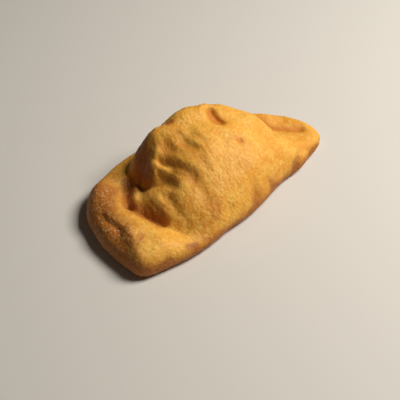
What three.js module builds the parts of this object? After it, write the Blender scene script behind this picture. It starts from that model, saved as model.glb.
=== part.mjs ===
// A fried calzone: a disc of dough folded in half over its filling, pressed shut along the round edge and
// deep-fried. It lies on its flat underside: fold towards -Y, sealed edge towards +Y, blunt end towards -X.
// Millimetres, +Z up, origin under the middle of the box.
import * as THREE from "three";

// Driving dimensions.
const FILLING_HEIGHT = 48; // top of the crust over the filling
const TIP_DROP = 0.3; // share of that height lost towards the pointed end
const TIP = { from: 15, to: 75 }; // it is lost between these two places along the fold
const WIDEST_HEIGHT = 6; // the side is widest this far above the table
const TUCK = 8; // how far the side curls in below that
const RIM_THIN = 12.5; // pressed edge at the back and at the pointed end
const RIM_THICK = 19.5; // puffed edge at the blunt end, the heel
const ROUND_THIN = 8; // how far in from the side the pressed edge is rounded over
const ROUND_HEEL = 19; // the same at the heel
const ROUND_FOLD = 15; // the same along the fold
const ROUND_START = 2.6; // above 2, the round-over starts without an edge
const MIDDLE = { x: 2, y: 6 }; // every direction is taken from here

// The swell over the filling: height = peak * (1 - share ** power) ** fullness, share being 1 at its foot.
const POWER_FOLD = 1.65; // domed towards the fold
const POWER_SEALED = 3.4; // flatter on top and steeper towards the sealed edge
const FULLNESS = 0.62; // below 1, the foot is steep
const FULLNESS_FOLD = 0.8; // nearer 1, the foot is a slope
const FRONT = { turn: -150, spread: 35 }; // the slope towards the heel: its direction and spread in degrees
const HEEL = { from: -48, to: -72 }; // the rim thickens into the heel between these two places
const FOLD_SIDE = { from: 0.2, to: -0.6 }; // sine of the direction where the fold's shape begins and is full
const SEALED_SIDE = { from: -0.3, to: 0.9 }; // the same for the sealed edge's shape
const BODY_BLEND = 8; // radius of the hollow where the swell meets the rim
const BODY_BLEND_FRONT = 3; // the same above the heel, where it is a sharp crease
const MOUND_BLEND = 8; // the same where two lumps meet
const WANDER = { by: 1.4, wave: 40, starts: [0.6, 1.9] }; // hollows stray from their paths in waves
const SPAN_STEPS = 40; // a smooth line is worked out at this many places between two of its points

// Grid of the sheet of dough that is wrapped over the form.
const CELLS_LONG = 90;
const CELLS_WIDE = 52;
const TUCK_RINGS = 3;
const EDGE_CROWDING = 1.35; // above 1, the cells are closer together near the side

// The side at its widest, seen from above, starting at the pointed end and going round by the sealed edge.
const WIDEST_LINE = [
  [92.3, -21], [91.3, -11], [86, 0.5], [77, 10.5], [66, 18.5], [52, 28], [34, 37.5], [12, 45], [-12, 48],
  [-36, 47], [-54, 43], [-70, 36.8], [-83, 22.5], [-88.4, 8], [-91, -2], [-91.8, -14], [-91.6, -27],
  [-90.4, -35.5], [-85, -40.4], [-74, -43.6], [-56, -47.6], [-40, -48.6], [-20, -47.6], [-3, -48],
  [14, -46], [30, -42.6], [45, -40.6], [57, -40.6], [70, -37.6], [82, -34.6], [89.5, -29.3],
];

// Where the swell of the filling ends. It runs past the fold, because there the filling fills the dough.
const FILLING_LINE = [
  [88, -34], [83, -20], [72, -6], [60, 7], [50, 19], [36, 29], [14, 37], [-10, 40], [-31, 39], [-41, 32],
  [-43, 21], [-46, 9], [-54, -6], [-60, -26], [-52, -48], [-24, -63], [8, -67], [38, -65], [64, -58],
  [82, -48],
];

// Lumps of filling that push the crust up to a height: place, half length, half width, turn in degrees. lean is
// the rise for each mm towards +X, and power and fullness shape the lump's own swell as they do the whole.
const MOUNDS = [
  {
    name: "back left", x: -20, y: 14, long: 21, wide: 20, turn: 25,
    high: 42.5, lean: 0.25, power: 3, fullness: 0.45,
  },
  {
    name: "front left", x: -13, y: -4, long: 27, wide: 25, turn: 0,
    high: 41.5, lean: 0.28, power: 4, fullness: 0.55,
  },
  {
    name: "back", x: 5, y: 19, long: 32, wide: 21, turn: -8,
    high: 50, lean: 0, power: 2.2, fullness: 0.7,
  },
  {
    name: "behind the pit", x: 22, y: 12, long: 32, wide: 23, turn: -20,
    high: 46.5, lean: 0, power: 2.2, fullness: 0.7,
  },
  {
    name: "right shoulder", x: 33, y: 0, long: 33, wide: 26, turn: -35,
    high: 41.5, lean: 0, power: 2.2, fullness: 0.8,
  },
  {
    name: "ledge on the left slope", x: -36, y: 6, long: 13, wide: 8, turn: -73,
    high: 32.5, lean: 0.25, power: 3, fullness: 0.55,
  },
  {
    name: "lobe above the heel", x: -34, y: -12, long: 30, wide: 27, turn: 0,
    high: 29.5, lean: 0.3, power: 3, fullness: 0.6,
  },
];

// Hollows (below zero) and swellings (above zero): a path seen from above, half width and rise.
const RELIEF = [
  { name: "strip of the valley", path: [[-46, 27], [-51, 20], [-56, 14], [-60, 5]], wide: 4, rise: -4 },
  {
    name: "slit above the heel",
    path: [[-58, 6], [-60.5, -2], [-60.5, -9], [-59, -16], [-56, -22]],
    wide: 2.6, rise: -2.6,
  },
  { name: "lump in the valley", path: [[-46, 16], [-50, 9], [-54, 3]], wide: 5, rise: 3.5 },
  { name: "small lump in the valley", path: [[-46, 31]], wide: 3, rise: 1.5 },
  { name: "lip below the heel's crease", path: [[-84, 8], [-85, -2]], wide: 3.5, rise: 1 },
  { name: "corner of the nose", path: [[-79, -13], [-82.5, -23.5], [-86, -31]], wide: 4, rise: 1.4 },
  { name: "flat side of the nose", path: [[-85, 14], [-88, 2], [-89, -20]], wide: 5, rise: -1.6 },
  { name: "knob on the left shoulder", path: [[-20, 25], [-25, 22]], wide: 5, rise: 2.2 },
  { name: "hollow under the knob", path: [[-28, 19], [-31.5, 18]], wide: 4.5, rise: -1.8 },
  { name: "lump on the left slope", path: [[-33.5, 14.5], [-30.5, 11.5]], wide: 3, rise: 1.8 },
  {
    name: "ridge below the long crease",
    path: [[-35, 15], [-33.5, 10], [-32, 4.5], [-31, -1]],
    wide: 2.2, rise: 1.6,
  },
  {
    name: "crest of the lobe",
    path: [[-49.5, -8.5], [-50.7, -17.5], [-49.5, -25], [-47, -30]],
    wide: 3.5, rise: 1.2,
  },
  { name: "lip behind the pit", path: [[20, 17], [13, 13]], wide: 3.5, rise: 1.2 },
  { name: "burst blister", path: [[15, -20]], wide: 2.5, rise: -1 },
  { name: "lip of the pointed end", path: [[58, 20], [72, 7]], wide: 5, rise: 3.2 },
  {
    name: "groove of the pointed end",
    path: [[60, 9], [63, 2], [66, -5], [72, -11], [79, -17]],
    wide: 3.2, rise: -2.2,
  },
  { name: "dimple in the fold's edge", path: [[6, -47]], wide: 5, rise: -4 },
];

// The dough is rumpled across its length at the blunt half: creases that run from the back to the fold. Each
// is a step on the side of the pointed end and eases out on the side of the heel.
const CREASES = [
  { name: "heel", path: [[-79, 10], [-80.5, 0], [-82, -7]], wide: 2, depth: 2.4 },
  { name: "pit near the top", path: [[20, 9], [19, 4], [19, -1]], wide: 2, depth: 3.4 },
  { name: "first hollow", path: [[-20.7, 9], [-20.7, 5]], wide: 2.6, depth: 2.4 },
  { name: "left slope", path: [[-35, 23], [-33.4, 16.7], [-31.5, 11], [-30, 8]], wide: 2, depth: 2.2 },
  {
    name: "long crease",
    path: [[-27.5, 3], [-27.6, -2], [-28.3, -8], [-27.6, -14], [-26, -19]],
    wide: 2.2, depth: 2.2,
  },
  { name: "third hollow", path: [[-25, -24.5], [-24.5, -29]], wide: 2.8, depth: 1.5 },
  { name: "below the ledge", path: [[-38.5, 18], [-38, 9], [-36, 3.5]], wide: 2, depth: 2 },
  { name: "second hollow", path: [[-36, -1.5], [-37, -6], [-37.2, -9]], wide: 2.4, depth: 2.6 },
  {
    name: "furrow beside the lobe",
    path: [[-45.7, -13], [-46, -18], [-46, -23], [-44, -30]],
    wide: 2.6, depth: 1.8,
  },
  { name: "across the top", path: [[-11, 10.5], [-11, 6.5], [-12, 0], [-12.5, -4]], wide: 2.2, depth: 1.3 },
  { name: "faint, across the top", path: [[-12.5, -5], [-14.5, -12], [-16, -20]], wide: 2, depth: 0.8 },
  { name: "near the top", path: [[-5, 1], [-5, -5]], wide: 2, depth: 0.7 },
  { name: "behind that crease", path: [[-2, 9], [-3, 6]], wide: 1.8, depth: 0.6 },
];
const CREASE_SPREAD = 2.6; // a crease is this many times wider on the side of the heel

const radians = (degrees) => (degrees * Math.PI) / 180;
const clamp01 = (t) => Math.min(1, Math.max(0, t));
const mix = (a, b, t) => a + (b - a) * t;

function easeBetween(from, to, value) {
  const t = clamp01((value - from) / (to - from));
  return t * t * (3 - 2 * t);
}

// The larger of two heights, with the corner between them rounded over a blend height.
function roundedMax(a, b, blend) {
  const t = clamp01(0.5 + (0.5 * (a - b)) / blend);
  return mix(b, a, t) + blend * t * (1 - t);
}

// A closed line through points, as the distance from MIDDLE in every direction.
function reachOf(points) {
  const samples = [];
  points.forEach((_, i) => {
    const [p0, p1, p2, p3] = [-1, 0, 1, 2].map((k) => points[(i + k + points.length) % points.length]);
    for (let s = 0; s < SPAN_STEPS; s++) {
      const t = s / SPAN_STEPS;
      const [x, y] = [0, 1].map(
        (k) =>
          0.5 *
          (2 * p1[k] +
            (p2[k] - p0[k]) * t +
            (2 * p0[k] - 5 * p1[k] + 4 * p2[k] - p3[k]) * t * t +
            (3 * p1[k] - p0[k] - 3 * p2[k] + p3[k]) * t * t * t),
      );
      samples.push([Math.atan2(y - MIDDLE.y, x - MIDDLE.x), Math.hypot(x - MIDDLE.x, y - MIDDLE.y)]);
    }
  });
  samples.sort((a, b) => a[0] - b[0]);
  const turn = 2 * Math.PI;
  const last = samples[samples.length - 1];
  const ring = [[last[0] - turn, last[1]], ...samples, [samples[0][0] + turn, samples[0][1]]];
  return (angle) => {
    let low = 0;
    let high = ring.length - 1;
    while (high - low > 1) {
      const mid = (low + high) >> 1;
      if (ring[mid][0] <= angle) low = mid;
      else high = mid;
    }
    const t = (angle - ring[low][0]) / (ring[high][0] - ring[low][0]);
    return mix(ring[low][1], ring[high][1], t);
  };
}

const widestReach = reachOf(WIDEST_LINE);
const fillingReach = reachOf(FILLING_LINE);

function moundHeight(mound, x, y) {
  const [cos, sin] = [Math.cos(radians(mound.turn)), Math.sin(radians(mound.turn))];
  const [fromX, fromY] = [x - mound.x, y - mound.y];
  const share = Math.hypot((fromX * cos + fromY * sin) / mound.long, (fromY * cos - fromX * sin) / mound.wide);
  return (mound.high + mound.lean * fromX) * Math.max(0, 1 - share ** mound.power) ** mound.fullness;
}

// Distance from a path of straight pieces, divided by spread straight towards the heel.
function pathDistance(path, x, y, spread = 1) {
  let nearest = Infinity;
  path.forEach(([ax, ay], i) => {
    const [bx, by] = path[Math.min(i + 1, path.length - 1)];
    const length2 = (bx - ax) ** 2 + (by - ay) ** 2 || 1;
    const t = clamp01(((x - ax) * (bx - ax) + (y - ay) * (by - ay)) / length2);
    const offX = x - mix(ax, bx, t);
    const away = Math.hypot(offX, y - mix(ay, by, t));
    const towardsHeel = away > 0 ? 0.5 - (0.5 * offX) / away : 0;
    nearest = Math.min(nearest, away / mix(1, spread, towardsHeel));
  });
  return nearest;
}

// Moves a place a little, so that no hollow has a straight edge.
function wander(x, y) {
  const turn = (2 * Math.PI) / WANDER.wave;
  const [startX, startY] = WANDER.starts;
  return [x + WANDER.by * Math.sin(turn * y + startX), y + WANDER.by * Math.sin(turn * x + startY)];
}

function reliefHeight(x, y) {
  const [wx, wy] = wander(x, y);
  let height = 0;
  for (const { path, wide, rise } of RELIEF) {
    height += rise * Math.exp(-((pathDistance(path, wx, wy) / wide) ** 2));
  }
  for (const { path, wide, depth } of CREASES) {
    height -= depth * Math.exp(-((pathDistance(path, wx, wy, CREASE_SPREAD) / wide) ** 2));
  }
  return height;
}

// Height of the top of the crust above the table.
function crustHeight(x, y) {
  const angle = Math.atan2(y - MIDDLE.y, x - MIDDLE.x);
  const distance = Math.hypot(x - MIDDLE.x, y - MIDDLE.y);
  const inwards = widestReach(angle) - distance;
  const heel = easeBetween(HEEL.from, HEEL.to, x);
  const foldSide = easeBetween(FOLD_SIDE.from, FOLD_SIDE.to, Math.sin(angle)) * (1 - heel);
  const sealedSide = easeBetween(SEALED_SIDE.from, SEALED_SIDE.to, Math.sin(angle));
  const offFront = Math.abs(((angle - radians(FRONT.turn) + 3 * Math.PI) % (2 * Math.PI)) - Math.PI);
  const front = Math.exp(-((offFront / radians(FRONT.spread)) ** 2));

  const rim = mix(RIM_THIN, RIM_THICK, heel);
  const roundover = mix(ROUND_THIN, ROUND_HEEL, heel) + (ROUND_FOLD - ROUND_THIN) * foldSide;
  const share = clamp01(distance / fillingReach(angle));
  const peak = FILLING_HEIGHT * (1 - TIP_DROP * easeBetween(TIP.from, TIP.to, x));
  const power = mix(POWER_FOLD, POWER_SEALED, sealedSide);
  let body = peak * (1 - share ** power) ** mix(FULLNESS, FULLNESS_FOLD, Math.max(front, 1 - sealedSide));
  for (const mound of MOUNDS) body = roundedMax(body, moundHeight(mound, x, y), MOUND_BLEND);
  const height = roundedMax(rim, body, mix(BODY_BLEND, BODY_BLEND_FRONT, front)) + reliefHeight(x, y);

  const fall = clamp01(1 - inwards / roundover);
  return WIDEST_HEIGHT + (height - WIDEST_HEIGHT) * Math.sqrt(1 - fall ** ROUND_START);
}

// A square of cells, -1 to 1 each way, drawn out to the widest line.
function onPlan(u, v) {
  const angle = Math.atan2(v * Math.sqrt(1 - (u * u) / 2), u * Math.sqrt(1 - (v * v) / 2));
  const radius = Math.min(1, Math.hypot(v * Math.sqrt(1 - (u * u) / 2), u * Math.sqrt(1 - (v * v) / 2)));
  return { angle, distance: (1 - Math.pow(1 - radius, EDGE_CROWDING)) * widestReach(angle) };
}

function crust() {
  const positions = [];
  const triangles = [];
  const add = (angle, distance, z) => {
    positions.push(MIDDLE.x + distance * Math.cos(angle), MIDDLE.y + distance * Math.sin(angle), z);
    return positions.length / 3 - 1;
  };
  const quad = (a, b, c, d) => triangles.push(a, b, c, a, c, d);

  // Top: one vertex for each corner of the grid.
  const grid = [];
  for (let j = 0; j <= CELLS_WIDE; j++) {
    grid.push([]);
    for (let i = 0; i <= CELLS_LONG; i++) {
      const { angle, distance } = onPlan((2 * i) / CELLS_LONG - 1, (2 * j) / CELLS_WIDE - 1);
      const x = MIDDLE.x + distance * Math.cos(angle);
      const y = MIDDLE.y + distance * Math.sin(angle);
      grid[j].push(add(angle, distance, crustHeight(x, y)));
    }
  }
  for (let j = 0; j < CELLS_WIDE; j++) {
    for (let i = 0; i < CELLS_LONG; i++) {
      quad(grid[j][i], grid[j][i + 1], grid[j + 1][i + 1], grid[j + 1][i]);
    }
  }

  // Side: rings that curl in from the widest line to the line where the dough meets the table.
  let ring = [
    ...grid[0].slice(0, -1),
    ...grid.slice(0, -1).map((row) => row[CELLS_LONG]),
    ...grid[CELLS_WIDE].slice(1).reverse(),
    ...grid.slice(1).reverse().map((row) => row[0]),
  ];
  const angles = ring.map((v) => Math.atan2(positions[3 * v + 1] - MIDDLE.y, positions[3 * v] - MIDDLE.x));
  for (let r = 1; r <= TUCK_RINGS; r++) {
    const turn = (Math.PI / 2) * (r / TUCK_RINGS);
    const next = angles.map((angle) =>
      add(angle, widestReach(angle) - TUCK * (1 - Math.cos(turn)), WIDEST_HEIGHT * (1 - Math.sin(turn))),
    );
    ring.forEach((v, i) => quad(v, next[i], next[(i + 1) % ring.length], ring[(i + 1) % ring.length]));
    ring = next;
  }

  // Underside: flat, on the table.
  const corners = ring.map((v) => new THREE.Vector2(positions[3 * v], positions[3 * v + 1]));
  for (const [a, b, c] of THREE.ShapeUtils.triangulateShape(corners, [])) {
    triangles.push(ring[a], ring[c], ring[b]);
  }

  const geometry = new THREE.BufferGeometry();
  geometry.setAttribute("position", new THREE.Float32BufferAttribute(positions, 3));
  geometry.setIndex(triangles);
  geometry.computeBoundingBox();
  const { min, max } = geometry.boundingBox;
  geometry.translate(-(min.x + max.x) / 2, -(min.y + max.y) / 2, 0);
  geometry.computeVertexNormals();
  const material = new THREE.MeshStandardMaterial({ color: 0xe0a04a, roughness: 0.6, metalness: 0 });
  const mesh = new THREE.Mesh(geometry, material);
  mesh.name = "crust";
  return mesh;
}

const calzone = new THREE.Group();
calzone.add(crust());

export default calzone;
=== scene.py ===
"""Looks of a fried calzone: a disc of dough folded over its filling, sealed along its round edge and
deep-fried. Its fold lies towards -Y, its sealed edge towards +Y and its blunt end, the heel, towards -X."""

import math

import bpy
import numpy as np
from mathutils import Matrix, Vector


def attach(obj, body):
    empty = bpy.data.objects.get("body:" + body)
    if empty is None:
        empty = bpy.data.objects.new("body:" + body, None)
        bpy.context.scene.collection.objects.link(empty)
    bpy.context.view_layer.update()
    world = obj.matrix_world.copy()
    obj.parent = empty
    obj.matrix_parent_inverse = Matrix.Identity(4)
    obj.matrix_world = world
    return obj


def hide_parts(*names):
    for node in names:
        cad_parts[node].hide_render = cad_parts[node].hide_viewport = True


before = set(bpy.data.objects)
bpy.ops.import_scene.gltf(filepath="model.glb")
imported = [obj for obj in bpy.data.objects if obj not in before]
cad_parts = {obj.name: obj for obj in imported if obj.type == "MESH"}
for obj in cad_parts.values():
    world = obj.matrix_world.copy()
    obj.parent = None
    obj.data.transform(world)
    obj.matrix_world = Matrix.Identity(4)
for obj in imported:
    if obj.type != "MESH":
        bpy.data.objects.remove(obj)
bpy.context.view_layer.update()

MM = 0.001

# ---------------------------------------------------------------------------------------------------------
# Form of the crust, in millimetres: the same named sizes and rules as the solid, on a finer grid.

FILLING_HEIGHT = 48  # top of the crust over the filling
TIP_DROP = 0.3  # share of that height lost towards the pointed end
TIP = (15, 75)  # it is lost between these two places along the fold
WIDEST_HEIGHT = 6  # the side is widest this far above the table
TUCK = 8  # how far the side curls in below that
RIM_THIN = 12.5  # pressed edge at the back and at the pointed end
RIM_THICK = 19.5  # puffed edge at the blunt end, the heel
ROUND_THIN = 8  # how far in from the side the pressed edge is rounded over
ROUND_HEEL = 19  # the same at the heel
ROUND_FOLD = 15  # the same along the fold
ROUND_START = 2.6  # above 2, the round-over starts without an edge
MIDDLE = (2, 6)  # every direction is taken from here

POWER_FOLD = 1.65  # the swell is domed towards the fold
POWER_SEALED = 3.4  # and flatter on top and steeper towards the sealed edge
FULLNESS = 0.62  # below 1, its foot is steep
FULLNESS_FOLD = 0.8  # nearer 1, the foot is a slope
FRONT_TURN = -150  # direction of the slope towards the heel, degrees
FRONT_SPREAD = 35
HEEL = (-48, -72)  # the rim thickens into the heel between these two places
FOLD_SIDE = (0.2, -0.6)  # sine of the direction where the fold's shape begins and is full
SEALED_SIDE = (-0.3, 0.9)  # the same for the sealed edge's shape
BODY_BLEND = 8  # the swell and the rim run into one another over this height
BODY_BLEND_FRONT = 3  # the same above the heel, where it is a sharp crease
MOUND_BLEND = 8  # the same where two lumps meet
WANDER = 1.4  # hollows stray this far from their paths
WANDER_WAVE = 40  # in waves of this length
WANDER_STARTS = (0.6, 1.9)
SPAN_STEPS = 40  # a smooth line is worked out at this many places between two of its points

# The side at its widest, seen from above, starting at the pointed end and going round by the sealed edge.
WIDEST_LINE = [
    (92.3, -21), (91.3, -11), (86, 0.5), (77, 10.5), (66, 18.5), (52, 28), (34, 37.5), (12, 45), (-12, 48),
    (-36, 47), (-54, 43), (-70, 36.8), (-83, 22.5), (-88.4, 8), (-91, -2), (-91.8, -14), (-91.6, -27),
    (-90.4, -35.5), (-85, -40.4), (-74, -43.6), (-56, -47.6), (-40, -48.6), (-20, -47.6), (-3, -48),
    (14, -46), (30, -42.6), (45, -40.6), (57, -40.6), (70, -37.6), (82, -34.6), (89.5, -29.3),
]  # fmt: skip

# Where the swell of the filling ends. It runs past the fold, because there the filling fills the dough.
FILLING_LINE = [
    (88, -34), (83, -20), (72, -6), (60, 7), (50, 19), (36, 29), (14, 37), (-10, 40), (-31, 39), (-41, 32),
    (-43, 21), (-46, 9), (-54, -6), (-60, -26), (-52, -48), (-24, -63), (8, -67), (38, -65), (64, -58),
    (82, -48),
]  # fmt: skip

# Lumps of filling that push the crust up: place, half length, half width, turn in degrees, height, how much
# it rises for each mm towards +X, and its own swell's power and fullness.
MOUNDS = {
    "back left": (-20, 14, 21, 20, 25, 42.5, 0.25, 3, 0.45),
    "front left": (-13, -4, 27, 25, 0, 41.5, 0.28, 4, 0.55),
    "back": (5, 19, 32, 21, -8, 50, 0, 2.2, 0.7),
    "behind the pit": (22, 12, 32, 23, -20, 46.5, 0, 2.2, 0.7),
    "right shoulder": (33, 0, 33, 26, -35, 41.5, 0, 2.2, 0.8),
    "ledge on the left slope": (-36, 6, 13, 8, -73, 32.5, 0.25, 3, 0.55),
    "lobe above the heel": (-34, -12, 30, 27, 0, 29.5, 0.3, 3, 0.6),
}

# Hollows (below zero) and swellings (above zero): a path seen from above, half width and rise.
RELIEF = {
    "strip of the valley": ([(-46, 27), (-51, 20), (-56, 14), (-60, 5)], 4, -4),
    "slit above the heel": ([(-58, 6), (-60.5, -2), (-60.5, -9), (-59, -16), (-56, -22)], 2.6, -2.6),
    "lump in the valley": ([(-46, 16), (-50, 9), (-54, 3)], 5, 3.5),
    "small lump in the valley": ([(-46, 31)], 3, 1.5),
    "lip below the heel's crease": ([(-84, 8), (-85, -2)], 3.5, 1),
    "corner of the nose": ([(-79, -13), (-82.5, -23.5), (-86, -31)], 4, 1.4),
    "flat side of the nose": ([(-85, 14), (-88, 2), (-89, -20)], 5, -1.6),
    "knob on the left shoulder": ([(-20, 25), (-25, 22)], 5, 2.2),
    "hollow under the knob": ([(-28, 19), (-31.5, 18)], 4.5, -1.8),
    "lump on the left slope": ([(-33.5, 14.5), (-30.5, 11.5)], 3, 1.8),
    "ridge below the long crease": ([(-35, 15), (-33.5, 10), (-32, 4.5), (-31, -1)], 2.2, 1.6),
    "crest of the lobe": ([(-49.5, -8.5), (-50.7, -17.5), (-49.5, -25), (-47, -30)], 3.5, 1.2),
    "lip behind the pit": ([(20, 17), (13, 13)], 3.5, 1.2),
    "burst blister": ([(15, -20)], 2.5, -1),
    "lip of the pointed end": ([(58, 20), (72, 7)], 5, 3.2),
    "groove of the pointed end": ([(60, 9), (63, 2), (66, -5), (72, -11), (79, -17)], 3.2, -2.2),
    "dimple in the fold's edge": ([(6, -47)], 5, -4),
}

# The dough is rumpled across its length at the blunt half: creases that run from the back to the fold. Each
# is a step on the side of the pointed end and eases out on the side of the heel. Path, half width, depth.
CREASES = {
    "heel": ([(-79, 10), (-80.5, 0), (-82, -7)], 2, 2.4),
    "pit near the top": ([(20, 9), (19, 4), (19, -1)], 2, 3.4),
    "first hollow": ([(-20.7, 9), (-20.7, 5)], 2.6, 2.4),
    "left slope": ([(-35, 23), (-33.4, 16.7), (-31.5, 11), (-30, 8)], 2, 2.2),
    "long crease": ([(-27.5, 3), (-27.6, -2), (-28.3, -8), (-27.6, -14), (-26, -19)], 2.2, 2.2),
    "third hollow": ([(-25, -24.5), (-24.5, -29)], 2.8, 1.5),
    "below the ledge": ([(-38.5, 18), (-38, 9), (-36, 3.5)], 2, 2),
    "second hollow": ([(-36, -1.5), (-37, -6), (-37.2, -9)], 2.4, 2.6),
    "furrow beside the lobe": ([(-45.7, -13), (-46, -18), (-46, -23), (-44, -30)], 2.6, 1.8),
    "across the top": ([(-11, 10.5), (-11, 6.5), (-12, 0), (-12.5, -4)], 2.2, 1.3),
    "faint, across the top": ([(-12.5, -5), (-14.5, -12), (-16, -20)], 2, 0.8),
    "near the top": ([(-5, 1), (-5, -5)], 2, 0.7),
    "behind that crease": ([(-2, 9), (-3, 6)], 1.8, 0.6),
}
CREASE_SPREAD = 2.6  # a crease is this many times wider on the side of the heel

# Grid of the sheet of dough. The underside has half as many cells each way.
CELLS_LONG = 340
CELLS_WIDE = 190
SIDE_RINGS = 8
EDGE_CROWDING = 1.35  # above 1, the cells are closer together near the side
UNDERSIDE_STEP = 1.2  # from the line where the dough meets the table to the underside's own grid


def mix(a, b, t):
    return a + (b - a) * t


def ease_between(start, end, value):
    """0 at start, 1 at end and smooth in between."""
    t = np.clip((value - start) / (end - start), 0, 1)
    return t * t * (3 - 2 * t)


def rounded_max(a, b, blend):
    """The larger of two heights, with the corner between them rounded over a blend height."""
    t = np.clip(0.5 + 0.5 * (a - b) / blend, 0, 1)
    return mix(b, a, t) + blend * t * (1 - t)


def reach_of(points):
    """A closed smooth line through points, as a function: the distance from MIDDLE in every direction."""
    p = np.array(points, float) - MIDDLE
    t = (np.arange(SPAN_STEPS) / SPAN_STEPS)[:, None]
    before, here, after, next_after = p[:, None], *(np.roll(p, -k, axis=0)[:, None] for k in (1, 2, 3))
    line = 0.5 * (
        2 * here
        + (after - before) * t
        + (2 * before - 5 * here + 4 * after - next_after) * t**2
        + (3 * here - before - 3 * after + next_after) * t**3
    )
    x, y = line.reshape(-1, 2).T
    angles = np.arctan2(y, x)
    order = np.argsort(angles)
    return lambda angle: np.interp(angle, angles[order], np.hypot(x, y)[order], period=2 * math.pi)


widest_reach = reach_of(WIDEST_LINE)
filling_reach = reach_of(FILLING_LINE)


def mound_height(x, y, mound):
    """Height of one lump of filling, 0 outside it."""
    at_x, at_y, long, wide, turn, high, lean, power, fullness = mound
    c, s = math.cos(math.radians(turn)), math.sin(math.radians(turn))
    along = ((x - at_x) * c + (y - at_y) * s) / long
    across = ((y - at_y) * c - (x - at_x) * s) / wide
    return (high + lean * (x - at_x)) * np.maximum(0, 1 - np.hypot(along, across) ** power) ** fullness


def path_distance(path, x, y, spread=1):
    """Distance to the nearest place on a path, divided by spread straight towards the heel."""
    least = 1e-6  # keeps the division right on the path
    nearest = np.full(np.shape(x), np.inf)
    for (ax, ay), (bx, by) in zip(path, path[1:] + path[-1:]):
        length2 = (bx - ax) ** 2 + (by - ay) ** 2 or 1  # a path of one place has no length
        t = np.clip(((x - ax) * (bx - ax) + (y - ay) * (by - ay)) / length2, 0, 1)
        off_x, off_y = x - mix(ax, bx, t), y - mix(ay, by, t)
        away = np.hypot(off_x, off_y)
        towards_heel = 0.5 - 0.5 * off_x / np.maximum(away, least)
        nearest = np.minimum(nearest, away / mix(1, spread, towards_heel))
    return nearest


def wander(x, y):
    """Moves a place a little, so that no hollow has a straight edge."""
    turn = 2 * math.pi / WANDER_WAVE
    start_x, start_y = WANDER_STARTS
    return x + WANDER * np.sin(turn * y + start_x), y + WANDER * np.sin(turn * x + start_y)


def relief_height(x, y):
    """What the hollows, swellings and creases add to the height of the crust."""
    wx, wy = wander(x, y)
    height = np.zeros(np.shape(x))
    for path, wide, rise in RELIEF.values():
        height = height + rise * np.exp(-((path_distance(path, wx, wy) / wide) ** 2))
    for path, wide, depth in CREASES.values():
        height = height - depth * np.exp(-((path_distance(path, wx, wy, CREASE_SPREAD) / wide) ** 2))
    return height


def crust_height(x, y):
    """Height of the top of the crust above the table."""
    angle = np.arctan2(y - MIDDLE[1], x - MIDDLE[0])
    distance = np.hypot(x - MIDDLE[0], y - MIDDLE[1])
    inwards = widest_reach(angle) - distance
    heel = ease_between(*HEEL, x)
    fold_side = ease_between(*FOLD_SIDE, np.sin(angle)) * (1 - heel)
    sealed_side = ease_between(*SEALED_SIDE, np.sin(angle))
    off_front = np.abs((angle - math.radians(FRONT_TURN) + 3 * math.pi) % (2 * math.pi) - math.pi)
    front = np.exp(-((off_front / math.radians(FRONT_SPREAD)) ** 2))

    rim = mix(RIM_THIN, RIM_THICK, heel)
    roundover = mix(ROUND_THIN, ROUND_HEEL, heel) + (ROUND_FOLD - ROUND_THIN) * fold_side
    share = np.clip(distance / filling_reach(angle), 0, 1)
    peak = FILLING_HEIGHT * (1 - TIP_DROP * ease_between(*TIP, x))
    power = mix(POWER_FOLD, POWER_SEALED, sealed_side)
    body = peak * (1 - share**power) ** mix(FULLNESS, FULLNESS_FOLD, np.maximum(front, 1 - sealed_side))
    for mound in MOUNDS.values():
        body = rounded_max(body, mound_height(x, y, mound), MOUND_BLEND)
    height = rounded_max(rim, body, mix(BODY_BLEND, BODY_BLEND_FRONT, front)) + relief_height(x, y)

    fall = np.clip(1 - inwards / roundover, 0, 1)
    return WIDEST_HEIGHT + (height - WIDEST_HEIGHT) * np.sqrt(1 - fall**ROUND_START)


def on_plan(cells_long, cells_wide, reach):
    """A square of cells drawn out to a closed line: rows of x and rows of y."""
    u, v = np.meshgrid(np.linspace(-1, 1, cells_long + 1), np.linspace(-1, 1, cells_wide + 1))
    x, y = u * np.sqrt(1 - v * v / 2), v * np.sqrt(1 - u * u / 2)
    angle = np.arctan2(y, x)
    distance = (1 - (1 - np.minimum(1, np.hypot(x, y))) ** EDGE_CROWDING) * reach(angle)
    return MIDDLE[0] + distance * np.cos(angle), MIDDLE[1] + distance * np.sin(angle)


def grid_faces(index):
    """Faces between the rows of a grid of vertex numbers."""
    corners = (index[:-1, :-1], index[:-1, 1:], index[1:, 1:], index[1:, :-1])
    return np.stack([c.ravel() for c in corners], axis=1).tolist()


def round_grid(index):
    """Vertex numbers along a grid's edge, once round."""
    return np.concatenate([index[0, :-1], index[:-1, -1], index[-1, :0:-1], index[:0:-1, 0]])


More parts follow.
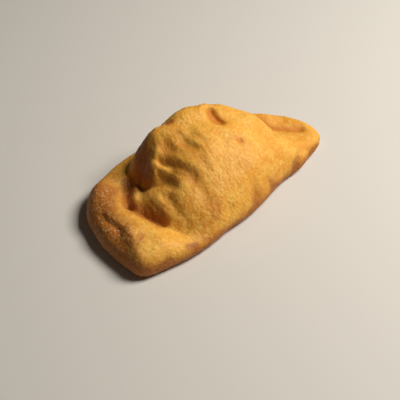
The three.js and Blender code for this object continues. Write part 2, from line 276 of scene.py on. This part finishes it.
def crust_form():
    """Vertices in millimetres and faces of the whole crust: top, side and underside."""
    x, y = on_plan(CELLS_LONG, CELLS_WIDE, widest_reach)
    vertices = [np.stack([x, y, crust_height(x, y)], axis=-1).reshape(-1, 3)]
    top = np.arange(x.size).reshape(x.shape)
    faces = grid_faces(top)
    count = x.size

    # Side: rings that curl in from the widest line to the line where the dough meets the table.
    ring = round_grid(top)
    angle = np.arctan2(vertices[0][ring, 1] - MIDDLE[1], vertices[0][ring, 0] - MIDDLE[0])
    for turn in np.linspace(0, math.pi / 2, SIDE_RINGS + 1)[1:]:
        reach = widest_reach(angle) - TUCK * (1 - math.cos(turn))
        height = np.full(ring.size, WIDEST_HEIGHT * (1 - math.sin(turn)))
        vertices.append(
            np.stack([MIDDLE[0] + reach * np.cos(angle), MIDDLE[1] + reach * np.sin(angle), height], axis=-1)
        )
        lower = count + np.arange(ring.size)
        faces += np.stack([ring, lower, np.roll(lower, -1), np.roll(ring, -1)], axis=1).tolist()
        ring, count = lower, count + ring.size

    # Underside: a coarser grid, joined to the last ring by a strip of triangles.
    def contact_reach(angle):
        return widest_reach(angle) - TUCK - UNDERSIDE_STEP

    x, y = on_plan(CELLS_LONG // 2, CELLS_WIDE // 2, contact_reach)
    vertices.append(np.stack([x, y, np.zeros_like(x)], axis=-1).reshape(-1, 3))
    under = count + np.arange(x.size).reshape(x.shape)
    faces += [face[::-1] for face in grid_faces(under)]
    inner = round_grid(under)
    even, odd, even_next, inner_next = ring[0::2], ring[1::2], np.roll(ring[0::2], -1), np.roll(inner, -1)
    for corners in ((even, inner, odd), (odd, inner, inner_next), (odd, inner_next, even_next)):
        faces += np.stack(corners, axis=1).tolist()
    return np.concatenate(vertices), faces


# ---------------------------------------------------------------------------------------------------------
# Colours and nodes


def linear(colour):
    """A colour written as sRGB hex, as the linear values that Blender works in."""
    channels = [int(colour[i : i + 2], 16) / 255 for i in (1, 3, 5)]
    return [c / 12.92 if c <= 0.04045 else ((c + 0.055) / 1.055) ** 2.4 for c in channels] + [1.0]


def add(tree, kind, inputs=None, **settings):
    """Adds a node and returns it. inputs are its sockets by name or number, each with a value or with an
    output to link from."""
    made = tree.nodes.new(kind)
    for name, value in settings.items():
        setattr(made, name, value)
    for name, value in (inputs or {}).items():
        if isinstance(value, bpy.types.NodeSocket):
            tree.links.new(value, made.inputs[name])
        else:
            made.inputs[name].default_value = value
    return made


def times_per_metre(size_mm):
    """Scale of a pattern whose features are this size."""
    return 1 / (size_mm * MM)


# ---------------------------------------------------------------------------------------------------------
# Skin of the crust: rumples, blisters and the pitted fried surface, as Geometry Nodes.

SKIN_SIZES = {  # name of the input: metres, or a ratio for the stretch
    "Rumple size": 7 * MM,
    "Rumple stretch": 2.2,
    "Rumple height": 1.6 * MM,
    "Blister size": 4.2 * MM,
    "Blister height": 0.45 * MM,
    "Pitting size": 1.7 * MM,  # the finest pits on real dough are too fine to show, so these are coarser
    "Pitting depth": 0.8 * MM,
    "Underside dent": 0.7 * MM,
}
SKIN_SEED = 7
RUMPLE_STEEP = 0.7  # below 1, rumples are drawn out up and down a steep side
BLISTER_EDGE = 0.55  # a blister begins this far from its middle, as a share of the blister size
BLISTER_TOP = 0.1  # and has its full height from here inwards
BLISTERED = (-0.05, 0.15)  # blisters come in patches: a wider pattern has none below and all above these
# The input that gives the size, the detail, and a step of the seed, so that no two patterns are alike.
SKIN_PATTERNS = {
    "rumples": ("Rumple size", 2.0, 0.0),
    "blister patches": ("Rumple size", 1.0, 5.0),
    "pitting": ("Pitting size", 2.0, 9.0),
    "dents": ("Rumple size", 2.0, 13.0),
}
# What is worked out, how, and from which two inputs, patterns, marks on the crust or earlier sums.
SKIN_SUMS = (
    ("rumple", "MULTIPLY", "rumples", "Rumple height"),
    ("rumple", "MULTIPLY", "rumple", "rumpled"),
    ("blister", "MULTIPLY", "dome", "patches"),
    ("raised", "MULTIPLY", "blister", "Blister height"),
    ("pit", "MULTIPLY", "pitting", "Pitting depth"),
    ("offset", "ADD", "rumple", "raised"),
    ("offset", "ADD", "offset", "pit"),
    ("offset", "MULTIPLY", "offset", "top"),
    ("underside", "SUBTRACT", 1.0, "top"),
    ("dent", "MULTIPLY", "dents", "Underside dent"),
    ("dent", "MULTIPLY", "dent", "underside"),
    ("offset", "ADD", "offset", "dent"),
)


def skin_tree():
    """Moves the crust's surface in and out: rumples, blisters and pitting on top, dents underneath."""
    tree = bpy.data.node_groups.new("fried_skin", "GeometryNodeTree")
    interface = tree.interface
    interface.new_socket("Geometry", in_out="INPUT", socket_type="NodeSocketGeometry")
    for name in SKIN_SIZES:
        interface.new_socket(name, in_out="INPUT", socket_type="NodeSocketFloat")
    interface.new_socket("Seed", in_out="INPUT", socket_type="NodeSocketFloat")
    interface.new_socket("Finish", in_out="INPUT", socket_type="NodeSocketMaterial")
    interface.new_socket("Geometry", in_out="OUTPUT", socket_type="NodeSocketGeometry")
    given = add(tree, "NodeGroupInput").outputs
    values = {socket.name: socket for socket in given}
    place = add(tree, "GeometryNodeInputPosition").outputs[0]
    normal = add(tree, "GeometryNodeInputNormal").outputs[0]
    for name in ("top", "rumpled"):
        mark = add(tree, "GeometryNodeInputNamedAttribute", {"Name": name}, data_type="FLOAT")
        values[name] = mark.outputs["Attribute"]

    squeeze = add(tree, "ShaderNodeMath", {0: 1.0, 1: given["Rumple stretch"]}, operation="DIVIDE")
    across = add(tree, "ShaderNodeCombineXYZ", {0: 1.0, 1: squeeze.outputs[0], 2: RUMPLE_STEEP})
    squeezed = add(tree, "ShaderNodeVectorMath", {0: place, 1: across.outputs[0]}, operation="MULTIPLY")
    for name, (size, detail, step) in SKIN_PATTERNS.items():
        shift = add(tree, "ShaderNodeMath", {0: given["Seed"], 1: step}, operation="ADD")
        scale = add(tree, "ShaderNodeMath", {0: 1.0, 1: given[size]}, operation="DIVIDE")
        sockets = {
            "Vector": squeezed.outputs[0] if name == "rumples" else place,
            "W": shift.outputs[0],
            "Scale": scale.outputs[0],
            "Detail": detail,
        }
        pattern = add(tree, "ShaderNodeTexNoise", sockets, noise_dimensions="4D")
        centred = add(tree, "ShaderNodeMath", {0: pattern.outputs["Fac"], 1: 0.5}, operation="SUBTRACT")
        values[name] = centred.outputs[0]

    scale = add(tree, "ShaderNodeMath", {0: 1.0, 1: given["Blister size"]}, operation="DIVIDE")
    sockets = {"Vector": place, "W": given["Seed"], "Scale": scale.outputs[0], "Randomness": 1.0}
    cells = add(tree, "ShaderNodeTexVoronoi", sockets, voronoi_dimensions="4D")
    sockets = {"Value": cells.outputs["Distance"], "From Min": BLISTER_EDGE, "From Max": BLISTER_TOP}
    dome = add(tree, "ShaderNodeMapRange", sockets, interpolation_type="SMOOTHSTEP")
    values["dome"] = dome.outputs["Result"]
    sockets = {"Value": values["blister patches"], "From Min": BLISTERED[0], "From Max": BLISTERED[1]}
    values["patches"] = add(tree, "ShaderNodeMapRange", sockets).outputs["Result"]

    for name, operation, first, second in SKIN_SUMS:
        sockets = {0: values.get(first, first), 1: values.get(second, second)}
        values[name] = add(tree, "ShaderNodeMath", sockets, operation=operation).outputs[0]
    outwards = add(tree, "ShaderNodeVectorMath", {0: normal, "Scale": values["offset"]}, operation="SCALE")
    moved = add(
        tree, "GeometryNodeSetPosition", {"Geometry": given["Geometry"], "Offset": outwards.outputs[0]}
    )

    # Nothing goes below the table.
    x, y, z = add(tree, "ShaderNodeSeparateXYZ", {0: place}).outputs
    lifted = add(tree, "ShaderNodeMath", {0: z, 1: 0.0}, operation="MAXIMUM")
    on_table = add(tree, "ShaderNodeCombineXYZ", {0: x, 1: y, 2: lifted.outputs[0]})
    rested = add(
        tree, "GeometryNodeSetPosition", {"Geometry": moved.outputs[0], "Position": on_table.outputs[0]}
    )
    marked = add(
        tree,
        "GeometryNodeStoreNamedAttribute",
        {"Geometry": rested.outputs[0], "Name": "blister", "Value": values["blister"]},
        data_type="FLOAT",
        domain="POINT",
    )
    smooth = add(tree, "GeometryNodeSetShadeSmooth", {"Geometry": marked.outputs[0]})
    real = add(tree, "GeometryNodeRealizeInstances", {"Geometry": smooth.outputs[0]})
    finished = add(
        tree, "GeometryNodeSetMaterial", {"Geometry": real.outputs[0], "Material": given["Finish"]}
    )
    add(tree, "NodeGroupOutput", {0: finished.outputs[0]})
    return tree


# ---------------------------------------------------------------------------------------------------------
# Finish

GOLD = "#EBAA3E"
DEEP_GOLD = "#DC942A"
DARK_GOLD = "#B8701A"
PALE = "#F3C55E"
ORANGE = "#CC7A14"
BROWN = "#AE681F"
DARK_BROWN = "#7A4620"
FLOURY = "#E8BD7C"

# Layers of colour, each over the one before: a pattern (size in mm, detail, and the values where it starts
# and where it is full), the mark on the crust that it is kept to, its share and its colour.
LAYERS = {
    "deep gold drifts": ((24, 2, 0.35, 0.7), None, 1.0, DEEP_GOLD),
    "pale blotches": ((7, 3, 0.46, 0.62), None, 0.4, PALE),
    "pale mottling": ((2.4, 3, 0.45, 0.65), None, 0.4, PALE),
    "deep gold mottling": ((1.6, 3, 0.48, 0.64), None, 0.55, DEEP_GOLD),
    "blisters": (None, "blister", 0.25, PALE),
    # Painted shade: hollows are darkened, the deeper ones more.
    "hollows": (None, "hollow", 1.0, DARK_GOLD),
    # Painted shade: a deeper orange in the pit, the groove and the burst blister.
    "shade painted in recesses": (None, "orange", 1.0, ORANGE),
    # Brown from browning, with painted shade on the left cliff, the valley, the nose's left and the low fold
    # face.
    "brown and shaded patches": (None, "ragged", 1.0, BROWN),
    "dark flecks": ((1.5, 3, 0.5, 0.7), "flecked", 0.6, DARK_BROWN),
    # Real flour is too fine to show, so it is drawn coarser.
    "floury grain": ((1.5, 2, 0.53, 0.64), "grainy", 0.65, FLOURY),
}
MARKS = ("blister", "hollow", "orange", "browning_and_shade", "grainy")
RAGGED = (4.5, 4)  # size in mm and detail of the pattern that makes the brown and painted shade patches ragged
BROWNING = (0.45, 1.5)  # that pattern plus the browning and painted shade: where the brown starts and where it is full
FLECKED = (0.3, 1.0)  # flecks start at this strength of browning and painted shade, and are full at this one
OIL = (3, 3)  # size in mm and detail of the uneven film of oil
OIL_RANGE = (0.3, 0.7)  # values of that pattern where the film is thickest and thinnest
ROUGHNESS = (0.54, 0.72)  # the same for the surface's roughness
PITS = (1.6, 3)  # size in mm and detail of the finest pits: smaller on real dough, drawn coarser to show
PIT_STRENGTH = 0.8
PIT_DEPTH = 0.6 * MM


def deep_fried_dough():
    """Wheat dough, deep-fried: its skin has browned unevenly and keeps a thin film of oil, so it is matte
    gold with paler blisters, brown patches, a floury grain and a faint soft sheen; painted shade darkens
    its hollows, recesses and shaded sides."""
    material = bpy.data.materials.new("deep_fried_dough")
    material.use_nodes = True
    tree = material.node_tree
    shader = tree.nodes["Principled BSDF"]
    place = add(tree, "ShaderNodeTexCoord").outputs["Object"]

    patterns = {}
    for name, (size, detail) in {"ragged": RAGGED, "oil": OIL, "pits": PITS}.items():
        sockets = {"Vector": place, "Scale": times_per_metre(size), "Detail": detail}
        patterns[name] = add(tree, "ShaderNodeTexNoise", sockets).outputs["Fac"]

    marks = {}
    for name in MARKS:
        marks[name] = add(tree, "ShaderNodeAttribute", attribute_name=name).outputs["Fac"]
    browner = add(tree, "ShaderNodeMath", {0: marks["browning_and_shade"], 1: patterns["ragged"]}, operation="ADD")
    ramps = {"ragged": (browner.outputs[0], *BROWNING), "flecked": (marks["browning_and_shade"], *FLECKED)}
    for name, (value, start, end) in ramps.items():
        sockets = {"Value": value, "From Min": start, "From Max": end}
        ramp = add(tree, "ShaderNodeMapRange", sockets, interpolation_type="SMOOTHSTEP")
        marks[name] = ramp.outputs["Result"]

    colour = linear(GOLD)
    for pattern, mark, share, tint in LAYERS.values():
        shown = marks[mark] if mark else 1.0
        if pattern:
            size, detail, start, end = pattern
            sockets = {"Vector": place, "Scale": times_per_metre(size), "Detail": detail}
            spots = add(tree, "ShaderNodeTexNoise", sockets)
            sockets = {"Value": spots.outputs["Fac"], "From Min": start, "From Max": end}
            ramp = add(tree, "ShaderNodeMapRange", sockets, interpolation_type="SMOOTHSTEP")
            kept = add(tree, "ShaderNodeMath", {0: ramp.outputs["Result"], 1: shown}, operation="MULTIPLY")
            shown = kept.outputs[0]
        part = add(tree, "ShaderNodeMath", {0: shown, 1: share}, operation="MULTIPLY")
        sockets = {"Factor": part.outputs[0], 6: colour, 7: linear(tint)}
        colour = add(tree, "ShaderNodeMix", sockets, data_type="RGBA").outputs[2]
    tree.links.new(colour, shader.inputs["Base Color"])

    sockets = {"Value": patterns["oil"], "From Min": OIL_RANGE[0], "From Max": OIL_RANGE[1]}
    rough = add(tree, "ShaderNodeMapRange", {**sockets, "To Min": ROUGHNESS[0], "To Max": ROUGHNESS[1]})
    tree.links.new(rough.outputs["Result"], shader.inputs["Roughness"])
    sockets = {"Height": patterns["pits"], "Strength": PIT_STRENGTH, "Distance": PIT_DEPTH}
    tree.links.new(add(tree, "ShaderNodeBump", sockets).outputs["Normal"], shader.inputs["Normal"])
    shader.inputs["IOR"].default_value = 1.44  # frying oil, soaked in
    shader.inputs["Coat Weight"].default_value = 0.03  # and a faint film of it on top
    shader.inputs["Coat Roughness"].default_value = 0.35
    # Dough lets a little light in, so its edges look soft and warm.
    shader.inputs["Subsurface Weight"].default_value = 0.06
    shader.inputs["Subsurface Radius"].default_value = (1.0, 0.45, 0.15)
    shader.inputs["Subsurface Scale"].default_value = 2.5 * MM
    return material


def plain_finish(name, colour, roughness):
    material = bpy.data.materials.new(name)
    material.use_nodes = True
    shader = material.node_tree.nodes["Principled BSDF"]
    shader.inputs["Base Color"].default_value = linear(colour)
    shader.inputs["Roughness"].default_value = roughness
    return material


# ---------------------------------------------------------------------------------------------------------
# The crust

# Where the skin has browned, and where shade is painted on as brown: a path seen from above, half width and
# strength.
BROWN_AND_SHADE_PATHS = {
    "fold's edge, right": ([(50, -41), (57, -40)], 2, 0.7),
    "fold's edge, right end": ([(72, -37), (80, -35)], 2, 0.6),
    "fold's edge, middle": ([(22, -44), (30, -43)], 1.6, 0.6),
    "dimple": ([(-3, -48), (4, -47)], 2, 0.8),
    "fold's edge, heel": ([(-50, -46), (-56, -45)], 2.2, 0.6),
    "fold's edge, under the nose": ([(-70, -44.5), (-82, -41.5)], 2.4, 0.7),
    "corner of the heel": ([(-76, -22), (-84, -28), (-88, -36)], 3.5, 0.55),
    # Browning here, with painted shade on this side, which faces away from the light.
    "left side of the heel": ([(-68, 26), (-84, 8), (-90, -12)], 14, 1.2),
    "back of the heel": ([(-52, 38), (-66, 30)], 9, 0.6),
    "speck behind the knob": ([(-10, 22)], 3, 1.0),
    # Painted shade on the left cliff.
    "left cliff": ([(-30, 27), (-36, 20), (-40, 12)], 7, 0.9),
    # Painted shade in the valley.
    "valley": ([(-46, 26), (-52, 18), (-58, 8), (-60, -4), (-57, -18)], 6, 1.0),
    # Painted shade on the left of the nose.
    "left of the nose": ([(-93, -10), (-92, -28), (-86, -42)], 6, 0.8),
    # Painted shade on the fold face beside the heel.
    "fold face beside the heel": ([(-40, -44), (-26, -42)], 6, 0.35),
}

# Where the pit, the groove and the burst blister are painted a deeper orange as shade, and where it has a
# pale floury grain, in the same way.
RECESS_SHADE_PATHS = {
    "burst blister": ([(15, -19), (17, -21)], 2.2, 0.8),
    "pit near the top": ([(20, 9), (20, -1)], 3, 0.8),
    "groove of the pointed end": ([(60, 9), (64, 2), (67, -5), (73, -11), (80, -17)], 4, 0.6),
}
GRAIN_PATHS = {
    "left side of the heel": ([(-68, 24), (-80, 10), (-86, -4), (-80, -20)], 9, 1.0),
    "valley": ([(-48, 28), (-50, 12)], 8, 0.9),
    "lobe": ([(-46, 2), (-46, -14)], 7, 0.5),
}

# In a pair, what is described starts at the first place and is full at the second.
RUMPLED = (14, -14)  # along the fold, the rumples of the blunt half
RUMPLED_HEIGHT = (12, 20)  # the same, above the table
RUMPLES_LEAST = 0.45  # share of the rumples' height everywhere on the top
RUMPLES_SIDE = 0.25  # share on the side
HOLLOW_DEPTH = 3  # hollows are darkened with painted shade according to their depth, as a share of this
HOLLOW_START = 0.1  # less this share
HOLLOW_MOST = 0.85  # and no more than this
HOLLOW_COLOUR = (-60, -20)  # along the fold: the heel's own hollows stay plain
RIM_HEIGHT = (14, 4)  # above the table, the edge of the fold: browned, and darkened towards the table with painted shade
RIM_FOLD = (-20, -40)  # the same, towards the fold
RIM_BROWNING_AND_SHADE = 0.9
UNDERSIDE_BROWNING = 0.5
UNDERSIDE_HEIGHT = 1  # the side is browned like the underside up to here
OFF_TABLE = 0.01  # whatever is above this counts as top or side, not as underside


def place_crust():
    """Makes the crust, marks where it is browned, where shade is painted on it and where it is grainy, and
    puts it in place of the solid.
    """
    points, faces = crust_form()
    low, high = points.min(axis=0), points.max(axis=0)
    x, y, z = points.T
    mesh = bpy.data.meshes.new("crust_form")
    shift = np.array([(low[0] + high[0]) / 2, (low[1] + high[1]) / 2, 0])
    mesh.from_pydata(((points - shift) * MM).tolist(), [], faces)

    def painted(paths):
        wx, wy = wander(x, y)
        layers = [
            strength * np.exp(-((path_distance(path, wx, wy) / wide) ** 2))
            for path, wide, strength in paths.values()
        ]
        return np.max(layers, axis=0)

    top_count = (CELLS_LONG + 1) * (CELLS_WIDE + 1)
    is_top = np.arange(len(x)) < top_count
    rumples = (1 - RUMPLES_LEAST) * ease_between(*RUMPLED, x) * ease_between(*RUMPLED_HEIGHT, z)
    # Painted shade: the deeper the hollow, the darker its colour.
    hollow = np.clip(-relief_height(x, y) / HOLLOW_DEPTH - HOLLOW_START, 0, HOLLOW_MOST)
    # Browning and painted shade along the fold's lower edge, darker towards the table.
    rim_browning_and_shade = RIM_BROWNING_AND_SHADE * ease_between(*RIM_HEIGHT, z) * ease_between(*RIM_FOLD, y)
    underside_browning = np.where(z < UNDERSIDE_HEIGHT, UNDERSIDE_BROWNING, 0)
    values = {
        "top": np.where(z > OFF_TABLE, 1.0, 0.0),
        "rumpled": np.where(is_top, RUMPLES_LEAST + rumples, RUMPLES_SIDE),
        "hollow": np.where(is_top, hollow * ease_between(*HOLLOW_COLOUR, x), 0),
        # Painted shade: the pit, the groove and the burst blister are coloured a deeper orange.
        "orange": np.where(is_top, painted(RECESS_SHADE_PATHS), 0),
        # Browning, together with painted shade on shaded sides and along the fold's lower edge.
        "browning_and_shade": np.clip(painted(BROWN_AND_SHADE_PATHS) + rim_browning_and_shade + underside_browning, 0, 1),
        "grainy": painted(GRAIN_PATHS),
    }
    for name, value in values.items():
        mesh.attributes.new(name, "FLOAT", "POINT").data.foreach_set("value", value.astype(np.float32))

    maker = bpy.data.objects.new("crust_maker", mesh)
    bpy.context.scene.collection.objects.link(maker)
    skin = maker.modifiers.new("skin", "NODES")
    skin.node_group = skin_tree()
    sockets = {s.name: s.identifier for s in skin.node_group.interface.items_tree if s.in_out == "INPUT"}
    for name, size in SKIN_SIZES.items():
        skin[sockets[name]] = size
    skin[sockets["Seed"]] = float(SKIN_SEED)
    skin[sockets["Finish"]] = deep_fried_dough()
    evaluated = maker.evaluated_get(bpy.context.evaluated_depsgraph_get())
    crust = bpy.data.objects.new("fried_crust", bpy.data.meshes.new_from_object(evaluated))
    bpy.context.scene.collection.objects.link(crust)
    bpy.data.objects.remove(maker)
    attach(crust, "root")
    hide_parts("crust")


# ---------------------------------------------------------------------------------------------------------
# Floor, light and camera

HEADING = math.radians(44.15)  # the camera looks this far round from +Y towards +X
PITCH = math.radians(44.8)  # and this far down
CAMERA_PLACE = Vector((-0.3343, -0.3420, 0.4579))
CAMERA_LENS = 85.9  # millimetres
CAMERA_SENSOR = 36  # millimetres across

TO_RIGHT = Vector((math.cos(HEADING), -math.sin(HEADING), 0))
FORWARD = Vector((math.sin(HEADING), math.cos(HEADING), 0))
UP = Vector((0, 0, 1))

WARM_WHITE = "#FFF9F0"  # the key light
WARM = "#FFEEDC"  # the fill and the faint light of the room
ROOM_LIGHT = 0.03
FLOOR_SIZE = 4  # metres
FLOOR_COLOUR = "#D6D3CD"


def place_camera():
    look = FORWARD * math.cos(PITCH) - UP * math.sin(PITCH)
    camera = bpy.data.objects.new("camera", bpy.data.cameras.new("camera"))
    bpy.context.scene.collection.objects.link(camera)
    turn = Matrix((TO_RIGHT, TO_RIGHT.cross(look), -look)).transposed()
    camera.matrix_world = Matrix.Translation(CAMERA_PLACE) @ turn.to_4x4()
    camera.data.sensor_width = CAMERA_SENSOR
    camera.data.lens = CAMERA_LENS
    bpy.context.scene.camera = camera


def soft_light(name, towards, distance, size, power, colour):
    """A square light in the given direction from the object, aimed at it. Distance and size in metres,
    power in watts."""
    light = bpy.data.lights.new(name, "AREA")
    light.size = size
    light.energy = power
    light.color = linear(colour)[:3]
    lamp = bpy.data.objects.new(name, light)
    bpy.context.scene.collection.objects.link(lamp)
    lamp.location = towards.normalized() * distance
    lamp.rotation_euler = (-towards).to_track_quat("-Z", "Y").to_euler()


def place_studio():
    half = FLOOR_SIZE / 2
    corners = [(-half, -half, 0), (half, -half, 0), (half, half, 0), (-half, half, 0)]
    mesh = bpy.data.meshes.new("floor")
    mesh.from_pydata(corners, [], [(0, 1, 2, 3)])
    mesh.materials.append(plain_finish("pale_floor", FLOOR_COLOUR, roughness=0.8))
    floor = bpy.data.objects.new("floor", mesh)
    bpy.context.scene.collection.objects.link(floor)
    key_side = TO_RIGHT * 0.6 + FORWARD * 0.1 + UP * 0.8
    fill_side = TO_RIGHT * -0.5 - FORWARD * 0.9 + UP * 0.9
    soft_light("key", key_side, distance=1.0, size=0.4, power=11.8, colour=WARM_WHITE)
    soft_light("fill", fill_side, distance=1.5, size=1.0, power=0.35, colour=WARM)
    world = bpy.data.worlds.new("studio")
    world.use_nodes = True
    background = world.node_tree.nodes["Background"]
    background.inputs["Color"].default_value = linear(WARM)
    background.inputs["Strength"].default_value = ROOM_LIGHT
    bpy.context.scene.world = world
    bpy.context.scene.view_settings.view_transform = "Standard"


place_crust()
place_camera()
place_studio()
